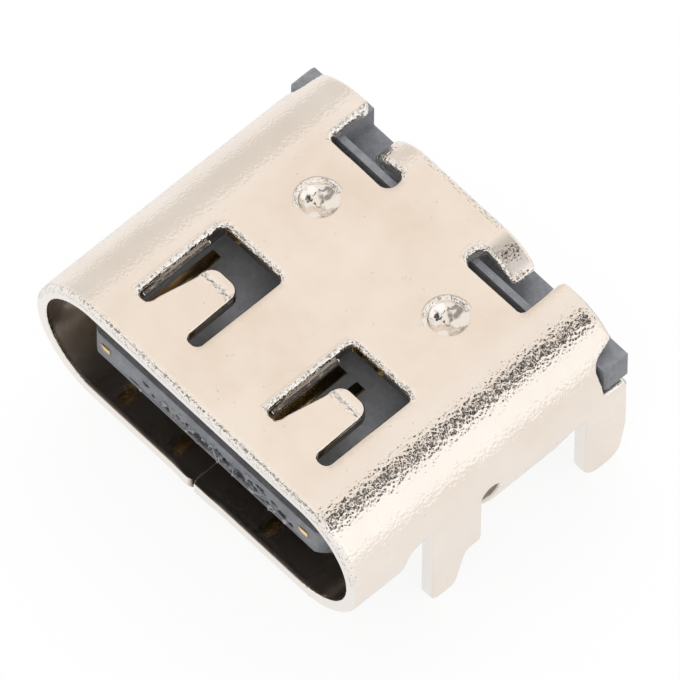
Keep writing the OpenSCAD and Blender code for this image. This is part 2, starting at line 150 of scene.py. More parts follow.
FRONT_LEG_LINE = down(np.concatenate([
    [[FRONT_LEG, MID_Z + 0.5]], arc(FRONT_LEG + 0.20, -LEG_DROP + 0.20, 0.20, 180, 270),
    arc(PIN_END - 0.20, -LEG_DROP + 0.20, 0.20, 270, 345), arc(LEG_END - 0.26, -0.12, 0.20, 175, 90),
    arc(LEG_END - 0.10, 0.18, 0.10, 270, 355), [[LEG_END, MID_Z + 0.5]],
]))
REAR_LEG_LINE = down(np.concatenate([
    [[6.30, MID_Z + 0.1], [6.20, MID_Z + 0.4], [REAR_LEG, MID_Z + 0.4]],
    arc(REAR_LEG + 0.40, -LEG_DROP + 0.40, 0.40, 180, 270),
    arc(LENGTH - 0.50, -LEG_DROP + 0.40, 0.40, 270, 345),
    [[LENGTH - 0.02, 0], [LENGTH, 0.15], [LENGTH, MID_Z + 0.1]],
]))
ROOT, TIP = SPRING_ROOT / 2, SPRING_TIP / 2
SPRING_LINE = np.concatenate([
    [[-ROOT, 0.3], [-ROOT, 1.2], [-TIP, SPRING_BEND]], arc(-0.14, SPRING_END - 0.28, 0.28, 180, 90),
    arc(0.14, SPRING_END - 0.28, 0.28, 90, 0), [[TIP, SPRING_BEND], [ROOT, 1.2], [ROOT, 0.3]],
])


def on_spring(a, y):
    """True on the two springs and a little before their roots."""
    return (np.abs(a - WINDOW_X) < 0.53) & (y > ARM_END - 0.3) & (y < 2.8)


# %% Signed distance of the whole blank
def lock_lines(grow, sign):
    """The dovetail locks of the seam in blank coordinates, grown by a clearance. Their roots reach into the metal."""
    lines = []
    for y in LOCK_PLACES:
        x = np.array([SEAM_X, -SEAM_X + grow, -0.60 - grow, -0.60 - grow, -SEAM_X + grow, SEAM_X])
        s = S_MIDDLE - sign * x
        flare = 0.12 + grow
        low, high = y - grow, y + LOCK_WIDTH + grow
        lines.append(np.stack([s, [low, low, y - flare, y + LOCK_WIDTH + flare, high, high]], 1))
    return lines


def blank_distance(s, y):
    """Signed distance to the metal of the flat blank."""
    a = np.abs(s)
    metal = box_distance(s, y, -S_MIDDLE + SEAM_X + SEAM_GAP, S_MIDDLE + SEAM_X, 0, LENGTH)
    for line in lock_lines(0.0, 1):
        metal = np.minimum(metal, outline_distance(s, y, line))
    for line in lock_lines(SEAM_GAP, -1):
        metal = np.maximum(metal, -outline_distance(-s, y, line))
    u = a - WINDOW_X
    window = box_distance(u, y, -WINDOW_W / 2, WINDOW_W / 2, WINDOW_FRONT, WINDOW_REAR, 0.13)
    window = keep_both(window, -outline_distance(u, y, SPRING_LINE), 0.14)
    metal = np.maximum(metal, -window)
    wing_end = WING_START + WING_R * math.radians(WING_ANGLE)
    slot = np.minimum(box_distance(a, y, 1.06, SLOT_OUTER, SLOT_FRONT, WING_FRONT, 0.20),
                      box_distance(a, y, wing_end, SLOT_OUTER, SLOT_FRONT, 9, 0.10))
    metal = keep_both(metal, -slot, 0.13)
    metal = keep_both(metal, -outline_distance(a, y, EAR_NOTCH), 0.10)
    metal = keep_both(metal, -outline_distance(a, y, FRONT_OPENING), 0.09)
    metal = keep_both(metal, -outline_distance(a, y, REAR_OPENING), 0.09)
    metal = keep_both(metal, -box_distance(a, y, S_BOTTOM - 0.05, 30, BOTTOM_END, 30), 0.09)
    metal = np.minimum(metal, outline_distance(a, y, FRONT_LEG_LINE))
    metal = np.minimum(metal, outline_distance(a, y, REAR_LEG_LINE))
    return np.maximum(metal, DIMPLE_HOLE - np.hypot(a - DIMPLE_X, y - DIMPLE_Y))


def edge_inset(s, y):
    """How far inside the metal's edge its rounding starts: wide on the mouth, narrow on the seam, none at a dimple."""
    a = np.abs(s)
    usual, at_mouth, at_seam = 0.075, 0.110, 0.045
    inset = usual + (at_mouth - usual) * np.clip(1 - (y - 0.15) / 0.2, 0, 1)
    inset -= (inset - at_seam) * np.clip((a - 10.1) / 0.3, 0, 1)
    return inset * np.clip((np.hypot(a - DIMPLE_X, y - DIMPLE_Y) - 0.75) / 0.2, 0, 1)


ROLL_WIDTH, ROLL_DEPTH, ROLL_CURVE = 0.26, 0.030, 2.4


def roll(s, y):
    """How far the outer face sinks near a pressed edge: the die drags the sheet down."""
    a = np.abs(s)
    t = np.clip(1 + blank_distance(s, y) / ROLL_WIDTH, 0, 1)
    t *= np.clip((np.hypot(a - DIMPLE_X, y - DIMPLE_Y) - DIMPLE_HOLE) / 0.2, 0, 1)
    t *= np.clip((S_SIDE - a) / 0.6, 0, 1)
    return ROLL_DEPTH * np.where(on_spring(a, y), 0, t) ** ROLL_CURVE


def wear_and_sheen_at(s, y):
    """How rubbed and grainy the outer face is, and where its pale colour is partly a painted highlight: near edges that
    face the mouth or the +s side, on the springs' crests, where the pale band is a painted highlight over the bend, on
    the wings and on the tab's burred rear edge."""
    lean_s, lean_y = slope(blank_distance, s, y)
    near = np.clip((roll(s, y) / ROLL_DEPTH) ** (1 / ROLL_CURVE) * 3.2 - 1.3, 0, 1)
    a = np.abs(s)
    # the crest's pale band is a painted highlight over the spring's bend, with real grain
    crest = 0.8 * np.exp(-((y - SPRING_BEND - 0.12) / 0.08) ** 2) * on_spring(a, y)
    wing = 0.35 * np.clip((y - WING_FRONT + 0.3) / 0.3, 0, 1) * np.clip((a - 0.9) / 0.3, 0, 1) * (a < WING_LIMIT)
    burr = 0.7 * near * (y > 6.7) * (a < 1.1)
    # edges facing the mouth or the +s side get more: their pale colour is partly a painted highlight
    return np.max([near * np.clip(0.6 + lean_s - lean_y, 0, 1), crest, wing, burr], axis=0)


def painted_wing_shade(s, y):
    """A dark painted reflection on the +s wing, added to the inner mark's painted shade."""
    across = np.clip((s - 1.10) / 0.2, 0, 1) * np.clip((2.0 - s) / 0.15, 0, 1)
    return 0.5 * np.clip((y - 6.22) / 0.25, 0, 1) * across


def slope(function, s, y):
    """Gradient of a function of (s, y) by central differences."""
    h = 1e-4
    return ((function(s + h, y) - function(s - h, y)) / (2 * h), (function(s, y + h) - function(s, y - h)) / (2 * h))


# %% [markdown]
# ## From blank to shell
# `form` is the press tool: it takes blank points and returns where the outer face ends up, which way it faces, and
# the two directions along it. Round sides, legs, wings and springs are each one short rule. Ahead of a rear leg the
# round side straightens over a short length, so that the two run into each other without a crease.

# %% The forming rule
def form(s, y):
    """Blank points to outer-face points, normals, and the unit vectors along s and y."""
    side, a = np.where(s < 0, -1.0, 1.0), np.abs(s)
    turn = np.clip((a - FLAT) / OUTER_R, 0, math.pi)
    at_front = (y > FRONT_LEG - 0.02) & (y < LEG_END + 0.02)
    at_rear = np.clip((y - REAR_LEG + 0.35) / 0.30, 0, 1)
    leg = np.where(at_front, 1.0, at_rear * at_rear * (3 - 2 * at_rear)) * ((a > S_SIDE) & (a < LEG_LIMIT))
    wing = (y > WING_FRONT - 0.05) & (a > WING_START) & (a < WING_LIMIT)
    under = a > S_BOTTOM
    x = np.where(a < FLAT, a, FLAT + OUTER_R * np.sin(turn)) - np.where(under, a - S_BOTTOM, 0)
    z = MID_Z + OUTER_R * np.cos(turn)
    turn = turn + leg * (math.pi / 2 - turn)
    x = x + leg * (FLAT + OUTER_R - x)
    z = z + leg * (MID_Z - (a - S_SIDE) - z)
    wing_turn = np.where(wing, (a - WING_START) / WING_R, 0)
    x = np.where(wing, WING_START + WING_R * np.sin(wing_turn), x)
    z = np.where(wing, HEIGHT - WING_R * (1 - np.cos(wing_turn)), z)
    turn = turn + wing_turn
    normal = np.stack([side * np.sin(turn), np.zeros_like(y), np.cos(turn)], -1)
    along_s = np.stack([np.cos(turn), np.zeros_like(y), -side * np.sin(turn)], -1)
    spring = on_spring(a, y)
    fall = SPRING_DROP / (SPRING_BEND - ARM_END)
    rise, blend = fall + 0.08, 0.05
    first = blend * np.logaddexp(0, (y - ARM_END) / blend) * fall
    second = blend * np.logaddexp(0, (y - SPRING_BEND) / blend) * rise
    dz = -fall / (1 + np.exp(-(y - ARM_END) / blend)) + rise / (1 + np.exp(-(y - SPRING_BEND) / blend))
    z = np.where(spring, z - first + second, z)
    dz = np.where(spring, dz, 0)
    along_y = np.stack([np.zeros_like(y), np.ones_like(y), dz], -1)
    along_y /= np.linalg.norm(along_y, axis=-1, keepdims=True)
    normal = np.where(spring[..., None], np.cross(along_s, along_y), normal)
    return np.stack([side * x, y, z], -1), normal, along_s, along_y


# %% [markdown]
# ## Cutting the blank to its outline
# A grid of triangles covers the blank. Grid points close to the outline are moved onto it, triangles that cross it
# are clipped, and every cut point is then pushed exactly onto the outline with a few Newton steps.

# %% Trim a grid to a signed distance
def settle(function, s, y):
    """Moves points onto the zero line of a function along its gradient, in four short Newton steps."""
    for _ in range(4):
        f = function(s, y)
        gs, gy = slope(function, s, y)
        scale = f / np.maximum(gs * gs + gy * gy, 0.2)
        s, y = s - np.clip(gs * scale, -0.03, 0.03), y - np.clip(gy * scale, -0.03, 0.03)
    return s, y


def trim(function, s_lines, y_lines):
    """Triangles of the grid that lie where the function is negative, clipped at its zero line: points and triangles."""
    s, y = [m.ravel() for m in np.meshgrid(s_lines, y_lines, indexing="ij")]
    f = function(s, y)
    near = np.abs(f) < 0.3 * (s_lines[1] - s_lines[0])
    s[near], y[near] = settle(function, s[near], y[near])
    f = np.where(near, 0.0, f)
    ny = len(y_lines)
    i, j = [m.ravel() for m in np.meshgrid(np.arange(len(s_lines) - 1), np.arange(ny - 1), indexing="ij")]
    c = [i * ny + j, (i + 1) * ny + j, (i + 1) * ny + j + 1, i * ny + j + 1]
    even = (i + j) % 2 == 0
    tri = np.concatenate([np.stack([c[0], c[1], np.where(even, c[2], c[3])], 1),
                          np.stack([np.where(even, c[0], c[1]), c[2], c[3]], 1)])
    inside = f <= 0
    count = inside[tri].sum(1)
    whole = tri[count == 3]
    middle = function(s[whole].mean(1), y[whole].mean(1))
    whole = whole[middle < 0]
    # turn each crossing triangle so that its odd vertex comes first
    two, one = tri[count == 2], tri[count == 1]
    two = np.stack([two[np.arange(len(two)), (np.argmin(inside[two], 1) + k) % 3] for k in range(3)], 1)
    one = np.stack([one[np.arange(len(one)), (np.argmax(inside[one], 1) + k) % 3] for k in range(3)], 1)
    pairs = np.concatenate([two[:, [1, 0]], two[:, [2, 0]], one[:, [0, 1]], one[:, [0, 2]]])
    unique, index = np.unique(pairs, axis=0, return_inverse=True)
    index = index.ravel()
    p, q = unique[:, 0], unique[:, 1]
    t = f[p] / np.minimum(f[p] - f[q], -1e-9)
    cs, cy = settle(function, s[p] + t * (s[q] - s[p]), y[p] + t * (y[q] - y[p]))
    number = np.where(f[p] == 0, p, len(s) + np.arange(len(p)))[index]
    n2, n1 = len(two), len(one)
    b_cut, c_cut = number[:n2], number[n2:2 * n2]
    first, second = number[2 * n2:2 * n2 + n1], number[2 * n2 + n1:]
    tri = np.concatenate([whole, np.stack([two[:, 1], two[:, 2], c_cut], 1), np.stack([two[:, 1], c_cut, b_cut], 1),
                          np.stack([one[:, 0], first, second], 1)])
    tri = tri[(tri[:, 0] != tri[:, 1]) & (tri[:, 1] != tri[:, 2]) & (tri[:, 2] != tri[:, 0])]
    used, tri = np.unique(tri, return_inverse=True)
    s, y = np.concatenate([s, cs])[used], np.concatenate([y, cy])[used]
    return s, y, tri.reshape(-1, 3)


def edge_loops(tri):
    """Closed loops of vertices along the open edges of a triangle set, with the metal on their left."""
    edges = np.concatenate([tri[:, [0, 1]], tri[:, [1, 2]], tri[:, [2, 0]]])
    top = tri.max() + 1
    key, back = edges[:, 0] * top + edges[:, 1], edges[:, 1] * top + edges[:, 0]
    edges = edges[~np.isin(key, back)]
    follow = {}
    for u, v in edges.tolist():
        follow.setdefault(u, []).append(v)
    loops = []
    while follow:
        start = next(iter(follow))
        loop, u = [], start
        while u in follow:
            loop.append(u)
            v = follow[u].pop()
            if not follow[u]:
                del follow[u]
            u = v
        loops.append(np.array(loop))
    return loops


# %% Build the sheet
GRID_S, GRID_Y = 0.078, 0.070


class Sheet:
    """Collects the points, faces and normals of one mesh, and how far each point is cut, rubbed bright (partly a
    painted highlight), or given painted shade like the inner face.
    """

    # inner carries painted shade: the dark colour of the inner face, of shaded walls and of the +s wing
    MARKS = ("cut", "worn", "inner")

    def __init__(self):
        self.points, self.normals, self.marks, self.places = [], [], [], []
        self.tris, self.quads, self.size = [], [], 0

    def add(self, points, normals, place, cut=0.0, worn=0.0, inner=0.0):
        """Takes points with their normals, places in the blank and marks, and returns their numbers."""
        index = self.size + np.arange(len(points))
        marks = [np.broadcast_to(np.asarray(mark, float), (len(points),)) for mark in (cut, worn, inner)]
        self.points.append(points)
        self.normals.append(normals)
        self.marks.append(np.stack(marks, 1))
        self.places.append(place)
        self.size += len(points)
        return index

    def strip(self, row, following, flipped=False):
        """A closed band of quads between two loops of points."""
        band = np.stack([row, following, np.roll(following, -1), np.roll(row, -1)], 1)
        self.quads.append(band[:, [0, 3, 2, 1]] if flipped else band)

    def object(self, name):
        """The finished mesh as an object, with its normals, its marks and the blank as its UV map."""
        points, normals = placed(np.concatenate(self.points)), np.concatenate(self.normals)
        faces = np.concatenate(self.tris).tolist() + np.concatenate(self.quads).tolist()
        mesh = bpy.data.meshes.new(name)
        mesh.from_pydata(points.tolist(), [], faces)
        mesh.polygons.foreach_set("use_smooth", [True] * len(faces))
        for name_of_mark, values in zip(self.MARKS, np.concatenate(self.marks).T):
            mark = mesh.attributes.new(name_of_mark, "FLOAT", "POINT")
            mark.data.foreach_set("value", np.ascontiguousarray(values, np.float32))
        place = np.concatenate(self.places)
        layer = mesh.uv_layers.new(name="blank")
        corner = np.empty(len(mesh.loops), np.int32)
        mesh.loops.foreach_get("vertex_index", corner)
        layer.data.foreach_set("uv", (place[corner] / 10).astype(np.float32).ravel())
        mesh.update()
        normals /= np.linalg.norm(normals, axis=1, keepdims=True)
        mesh.normals_split_custom_set_from_vertices(normals.tolist())
        piece = bpy.data.objects.new(name, mesh)
        bpy.context.scene.collection.objects.link(piece)
        print(name, "points", len(points), "triangles", sum(len(face) - 2 for face in faces))
        return piece


def sheet_rows(s, y, out_s, out_y, inset, outer_round, inner_round):
    """Rows round a cut edge: outer rounding, cut wall and inner rounding, each (points, normals, place, marks).

    Halfway down, a window's wall on its -s side has a bright torn ledge. The seam's walls, the rear wall of a front
    leg's opening and the windows' other walls get little light, so they get painted shade like the inner face; the
    seam's inner rounding on its +s side is mostly spared it and shows as a thin light line."""
    rows = []
    left_wall = np.abs(s - np.sign(s) * WINDOW_X + WINDOW_W / 2) < 0.15
    ledge = 0.06 * np.clip((out_s - 0.6) / 0.3, 0, 1) * left_wall * (y > 1.05) * (y < 2.80)
    ledge_lean = np.arctan2(ledge, 0.03)
    upright = math.pi / 2
    outer = [(inset - outer_round * (1 - math.sin(angle)), outer_round * (1 - math.cos(angle)), angle, True)
             for angle in np.radians([0, 20, 40, 60, 78, 90])]
    step_down = [(inset, outer_round + 0.035, upright, False), (inset, 0.222, upright, False),
                 (inset, 0.225, upright - ledge_lean, False), (inset + ledge, 0.255, upright - ledge_lean, False),
                 (inset + ledge, 0.258, upright, False)]
    inner = [(inset + ledge - inner_round * (1 - math.cos(angle)), WALL - inner_round * (1 - math.sin(angle)),
              angle + upright, False) for angle in np.radians([0, 30, 60, 90])]
    for offset, depth, angle, on_roll in outer + step_down + inner:
        s_at, y_at = s + out_s * offset, y + out_y * offset
        at, normal, along_s, along_y = form(s_at, y_at)
        outward = out_s[:, None] * along_s + out_y[:, None] * along_y
        sunk = roll(s_at, y_at)
        step = 0.01
        lean = np.arctan((sunk - roll(s_at - out_s * step, y_at - out_y * step)) / step)
        depth = depth + on_roll * sunk
        angle = np.minimum(angle + lean, upright) if on_roll else np.full_like(sunk, angle)
        facing = np.cos(angle)[:, None] * normal + np.sin(angle)[:, None] * outward
        place = np.stack([s_at + out_s * depth, y_at + out_y * depth], 1)
        # painted shade on the seam's walls, mostly spared on the inner rounding of its +s side
        at_seam = ((np.abs(s) > 10.0) & (np.abs(out_s) > 0.7)) * (1 - 0.9 * (angle > 1.7) * (s > 0))
        on_side = (np.abs(s) > 5.2) & (np.abs(s) < 7.2)
        # painted shade on the wall behind a front leg and on the window walls, with the torn ledge rows spared
        behind_leg = 0.95 * ((out_y < -0.5) & on_side & (np.abs(y - LEG_END - 0.3) < 0.3))
        in_window = 0.9 * (np.abs(np.abs(s) - WINDOW_X) < WINDOW_W / 2 + 0.1)
        in_window *= (y > WINDOW_FRONT - 0.1) & (y < WINDOW_REAR + 0.1)
        in_window *= 1 - 0.9 * (ledge > 0.02) * (angle < 1.2)
        # dark: how much painted shade a row gets
        dark = np.maximum(at_seam, (not on_roll) * np.maximum(behind_leg, in_window))
        cut = ((angle > 1.0) & (angle < 2.2)) * (1 - dark)
        worn = wear_and_sheen_at(s_at, y_at) * (1.0 if on_roll else 0.3 * (in_window == 0))
        rows.append((at - normal * depth[:, None], facing, place, dict(cut=cut, worn=worn, inner=dark)))
    return rows


DIMPLE_FACETS = ((0.2, 0.75), (1.1, 0.50), (2.1, 0.80), (3.1, 0.60), (4.2, 0.75), (5.3, 0.50))
DIMPLE_RADII = (0.56, 0.51, 0.48, 0.46, 0.445, 0.43, 0.40, 0.36, 0.32, 0.28, 0.25, 0.225, 0.205, 0.17, 0.12, 0.06)


def dimple_depth(x, y, inner):
    """Depth below the sheet's face at x, y from the dimple's centre: a round rim, uneven facets and a leaning floor.
    On the inner face the punch leaves a lower, softer boss."""
    deep, top = (0.08, 0.36) if inner else (0.19, 0.435)
    r = np.hypot(x, y)
    share = np.clip((r - 0.27) / 0.15, 0, 1)
    depth = deep * (1 + 0.9 * x - 0.7 * y)
    for turn, steep in DIMPLE_FACETS:
        flat = x * math.cos(turn) + y * math.sin(turn)
        depth = np.minimum(depth, np.maximum(top - flat - (r - flat) * share, 0) * steep)
    return depth * (1 + 0.09 * np.sin(14 * x + 6 * y + 1) * np.sin(12 * y - 5 * x + 2))


def fill_dimple(sheet, last, side, angle, inner):
    """Closes a dimple's hole in one face of the sheet with rings of points, from its rim down to its floor."""
    face_z, h = HEIGHT - (WALL if inner else 0), 0.006
    for r in DIMPLE_RADII:
        x, y = r * np.cos(angle), r * np.sin(angle)
        depth = dimple_depth(x, y, inner)
        place = np.stack([side * DIMPLE_X + x, DIMPLE_Y + y], 1)
        up = np.stack([dimple_depth(x + h, y, inner) - dimple_depth(x - h, y, inner),
                       dimple_depth(x, y + h, inner) - dimple_depth(x, y - h, inner), np.full_like(x, 2 * h)], 1)
        up /= np.linalg.norm(up, axis=1, keepdims=True)
        # the upper-left rim of the outer dimple is rubbed and beaded, its pale colour partly a painted highlight
        rim_wear_and_sheen = 0.9 * (np.cos(angle - 2.8) > 0) * (0.36 < r < 0.5) * (not inner)
        # the outer dimple's floor takes the pale cut-wall colour as a painted highlight
        row = sheet.add(np.column_stack([place, face_z - depth]), -up if inner else up, place,
                        cut=0.0 if inner or r > 0.42 else 0.6, worn=rim_wear_and_sheen, inner=float(inner))
        sheet.strip(last, row, flipped=inner)
        last = row
    centre = sheet.add(np.array([[side * DIMPLE_X, DIMPLE_Y, face_z - depth.mean()]]),
                       np.array([[0, 0, -1.0 if inner else 1.0]]),
                       np.array([[side * DIMPLE_X, DIMPLE_Y]]), inner=float(inner))
    fan = np.stack([last, np.broadcast_to(centre, last.shape), np.roll(last, -1)], 1)
    sheet.tris.append(fan[:, ::-1] if inner else fan)


def build_shell():
    """The whole shell: both faces of the trimmed blank, the rows round every cut edge, and the dimples."""
    sheet = Sheet()
    inside = lambda s, y: blank_distance(s, y) + edge_inset(s, y)
    s, y, tri = trim(inside, np.arange(-10.75, 11.5, GRID_S), np.arange(-0.09, 7.2, GRID_Y))
    at, normal, along_s, along_y = form(s, y)
    place = np.stack([s, y], 1)
    sunk = roll(s, y)
    lean_s, lean_y = slope(roll, s, y)
    rolled = normal + lean_s[:, None] * along_s + lean_y[:, None] * along_y
    # on the outer face the inner mark holds only the painted dark reflection on the +s wing
    outer = sheet.add(at - normal * sunk[:, None], rolled, place, worn=wear_and_sheen_at(s, y), inner=painted_wing_shade(s, y))
    # the inner face gets the full painted shade
    inner = sheet.add(at - normal * WALL, -normal, place, inner=1.0)
    sheet.tris += [outer[tri], inner[tri][:, ::-1]]
    for loop in edge_loops(tri):
        ls, ly = s[loop], y[loop]
        if np.hypot(np.abs(ls) - DIMPLE_X, ly - DIMPLE_Y).max() < DIMPLE_HOLE + 0.08:
            side = 1.0 if ls.mean() > 0 else -1.0
            angle = np.arctan2(ly - DIMPLE_Y, ls - side * DIMPLE_X)
            fill_dimple(sheet, outer[loop], side, angle, False)
            fill_dimple(sheet, inner[loop], side, angle, True)
            continue
        gs, gy = slope(blank_distance, ls, ly)
        size = np.maximum(np.hypot(gs, gy), 1e-6)
        inset = edge_inset(ls, ly)
        outer_round, inner_round = inset - 0.008, 0.4 * inset - 0.006
        last = outer[loop]
        rows = sheet_rows(ls, ly, gs / size, gy / size, inset, outer_round, inner_round)
        for point, facing, row_place, marks in rows:
            row = sheet.add(point, facing, row_place, **marks)
            sheet.strip(last, row)
            last = row
        sheet.strip(last, inner[loop])
    return sheet.object("formed_shell")


shell = build_shell()
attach(shell, "root")
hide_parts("shell")

# %% [markdown]
# ## Plastic and contacts
# The CAD meshes are right in shape but have dead-sharp edges. A merged copy of each gets a small bevel, as the mould
# and the die leave it.

# %% Pits and crumbs on the tongue's nose
def lump(work, at, radii, rng):
    """Adds a squashed, uneven ball to a bmesh."""
    made = bmesh.ops.create_icosphere(work, subdivisions=2, radius=1.0)["verts"]
    for vertex in made:
        size = 1 + 0.35 * rng.uniform(-1, 1)
        vertex.co = Vector(placed([[a + size * c * r for a, c, r in zip(at, vertex.co, radii)]])[0])


def drop_specks(mesh):
    """Deletes every island of a mesh but the largest, such as a crumb that the pits have cut free."""
    work = bmesh.new()
    work.from_mesh(mesh)
    left, islands = set(work.verts), []
    while left:
        island, reach = [], [left.pop()]
        while reach:
            vertex = reach.pop()
            island.append(vertex)
            near = {edge.other_vert(vertex) for edge in vertex.link_edges} & left
            left -= near
            reach += near
        islands.append(island)
    islands.sort(key=len)
    bmesh.ops.delete(work, geom=[vertex for island in islands[:-1] for vertex in island], context="VERTS")
    work.to_mesh(mesh)
    work.free()
    print("specks dropped:", len(islands) - 1)


def nose_face(z):
    """How far behind the mouth the nose's front lies at height z: it leans back above the middle."""
    return 0.22 + 0.15 * np.maximum(z - 1.54, 0)


LUMPS = (("crumbs", 90, 0.022, 0.055, 0.010), ("pits", 110, 0.020, 0.085, -0.008))


def pitted_nose(piece):
    """Cuts broken-out pits and adds torn crumbs along the middle of the tongue's front, where the plastic was gated."""
    rng = np.random.default_rng(7)
    tools = {}
    for name, count, low, high, sink in LUMPS:
        work = bmesh.new()
        for _ in range(count):
            x, z = rng.triangular(-2.2, 0.4, 2.7), rng.normal(1.57, 0.08)
            size = low + (high - low) * rng.uniform() ** 1.5
            radii = size * rng.uniform(0.8, 2.2), 1.2 * size, 0.8 * size
            lump(work, (x, nose_face(z) + sink, z), radii, rng)
        tools[name] = bpy.data.objects.new(name, bpy.data.meshes.new(name))
        work.to_mesh(tools[name].data)
        work.free()
        bpy.context.scene.collection.objects.link(tools[name])
        cut = piece.modifiers.new(name, "BOOLEAN")
        cut.operation = "DIFFERENCE" if name == "pits" else "UNION"
        cut.object, cut.solver, cut.use_self = tools[name], "EXACT", True
    even = piece.modifiers.new("even", "WEIGHTED_NORMAL")
    even.keep_sharp = True
    bpy.context.view_layer.update()
    mesh = bpy.data.meshes.new_from_object(piece.evaluated_get(bpy.context.evaluated_depsgraph_get()))
    piece.modifiers.clear()
    piece.data = mesh
    drop_specks(mesh)
    for tool in tools.values():
        bpy.data.objects.remove(tool)
    at = np.empty(3 * len(mesh.vertices))
    mesh.vertices.foreach_get("co", at)
    x, y, z = 1000 * at.reshape(-1, 3).T + np.array([[0], [LENGTH / 2], [0]])
    behind = y - nose_face(z)
    # positive in the pits, which get painted shade, negative on the crumbs, which get a painted highlight
    deep = np.clip((behind - 0.006) / 0.03, 0, 1) - np.clip((-behind - 0.003) / 0.02, 0, 1)
    deep *= (np.abs(x) < 2.55) * (z > 1.30) * (z < 1.88) * (y < 0.42)
    mesh.attributes.new("pit_shade_crumb_light", "FLOAT", "POINT").data.foreach_set("value", deep.astype(np.float32))
    print("pitted nose: faces", len(mesh.polygons), "pit points", int((deep > 0).sum()))


# %% Softened copies of the CAD pieces
def softened(node, width, limit=35):
    """A merged copy of a CAD node with a bevel of a given width in mm on edges sharper than a limit in degrees."""
    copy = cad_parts[node].copy()
    copy.data = copy.data.copy()
    copy.name = node + "_soft"
    copy.parent = None
    copy.matrix_world = Matrix.Identity(4)
    bpy.context.scene.collection.objects.link(copy)
    work = bmesh.new()
    work.from_mesh(copy.data)
    bmesh.ops.remove_doubles(work, verts=work.verts, dist=2e-7)
    bmesh.ops.dissolve_limit(work, angle_limit=math.radians(1.0), verts=work.verts, edges=work.edges)
    work.to_mesh(copy.data)
    work.free()
    bevel = copy.modifiers.new("edges", "BEVEL")
    bevel.width = width * 0.001
    bevel.segments = 2
    bevel.limit_method = "ANGLE"
    bevel.angle_limit = math.radians(limit)
    bevel.use_clamp_overlap = True
    bevel.harden_normals = True
    for face in copy.data.polygons:
        face.use_smooth = True
    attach(copy, "root")
    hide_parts(node)
    return copy


housing = softened("housing", 0.025)
pitted_nose(housing)
contacts = [softened(n, 0.012, 50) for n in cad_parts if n.startswith("contact_")]
plate = softened("mid_plate", 0.015)
carriers = [softened(n, 0.012) for n in ("upper_carrier", "lower_carrier")]


# %% [markdown]
# ## Shader maths
# A wrapper round a node socket lets shader maths be written as Python expressions.

# %% A small class for shader maths
class Value:
    """One output socket of a material's node tree."""

    def __init__(self, nodes, socket):
        self.nodes, self.socket = nodes, socket

    def maths(self, operation, other, flipped=False):
        pair = (other, self) if flipped else (self, other)
        return self.nodes.make("ShaderNodeMath", dict(operation=operation), *pair)

    def __add__(self, other): return self.maths("ADD", other)
    def __radd__(self, other): return self.maths("ADD", other)
    def __rsub__(self, other): return self.maths("SUBTRACT", other, True)
    def __mul__(self, other): return self.maths("MULTIPLY", other)
    def __rmul__(self, other): return self.maths("MULTIPLY", other)


class Nodes:
    """A node tree with the place that it is worked out at, and the methods that add nodes to it."""

    def __init__(self, tree, place):
        self.tree = tree
        self.place = self.value("ShaderNodeTexCoord", place)

    def value(self, kind, output):
        """One output of a new node without inputs."""
        return Value(self, self.tree.nodes.new(kind).outputs[output])

    def make(self, kind, settings, *inputs, out=0, **named):
        """Adds a node, applies its settings, then links or sets its inputs by order or by name."""
        node = self.tree.nodes.new(kind)
        for key, value in settings.items():
            setattr(node, key, value)
        for key, value in list(enumerate(inputs)) + list(named.items()):
            if value is None:
                continue
            socket = node.inputs[key.replace("_", " ") if isinstance(key, str) else key]
            if isinstance(value, Value):
                self.tree.links.new(value.socket, socket)
            else:
                socket.default_value = value
        return Value(self, node.outputs[out])

    def scaled(self, per_mm, stretch=(1, 1, 1)):
        """The place, scaled so that one unit is a cell of which so many go into a millimetre."""
        return self.make("ShaderNodeMapping", {}, self.place, None, None, [per_mm * 1000 * k for k in stretch])

    def noise(self, per_mm, detail, roughness=0.55, stretch=(1, 1, 1)):
        """Noise with so many cells a millimetre."""
        return self.make("ShaderNodeTexNoise", {}, Vector=self.scaled(per_mm, stretch), Scale=1.0, Detail=detail,
                         Roughness=roughness, out="Fac")

    def cells(self, per_mm):
        """Distance to the nearest of scattered points, so many a millimetre."""
        return self.make("ShaderNodeTexVoronoi", {}, Vector=self.scaled(per_mm), Scale=1.0, out="Distance")

    def ramp(self, value, stops):
        """A colour ramp with stops of (place, colour)."""
        node = self.tree.nodes.new("ShaderNodeValToRGB")
        while len(node.color_ramp.elements) < len(stops):
            node.color_ramp.elements.new(0.5)
        for element, (place, colour) in zip(node.color_ramp.elements, stops):
            element.position, element.color = place, (*colour, 1)
        self.tree.links.new(value.socket, node.inputs[0])
        return Value(self, node.outputs[0])

    def blend(self, factor, a, b):
        """Mixes two colours."""
        node = self.tree.nodes.new("ShaderNodeMix")
        node.data_type = "RGBA"
        for key, value in ((0, factor), (6, a), (7, b)):
            if isinstance(value, Value):
                self.tree.links.new(value.socket, node.inputs[key])
            else:
                node.inputs[key].default_value = (*value, 1) if key else value
        return Value(self, node.outputs[2])

    def step(self, value, low, high):
        """0 below low, 1 above high, smooth between."""
        return self.make("ShaderNodeMapRange", dict(interpolation_type="SMOOTHSTEP"), value, low, high, 0.0, 1.0)

    def bump(self, height, depth_mm, strength=1.0, after=None):
        """A normal bent by a height that runs from 0 to 1 over a depth, on top of another bump."""
        return self.make("ShaderNodeBump", {}, Strength=strength, Distance=depth_mm * 0.001, Height=height,
                         Normal=after, out="Normal")

    def attribute(self, name):
        """A value stored on the mesh's points, 0 where the mesh has none of that name."""
        node = self.tree.nodes.new("ShaderNodeAttribute")
        node.attribute_name = name
        return Value(self, node.outputs["Fac"])


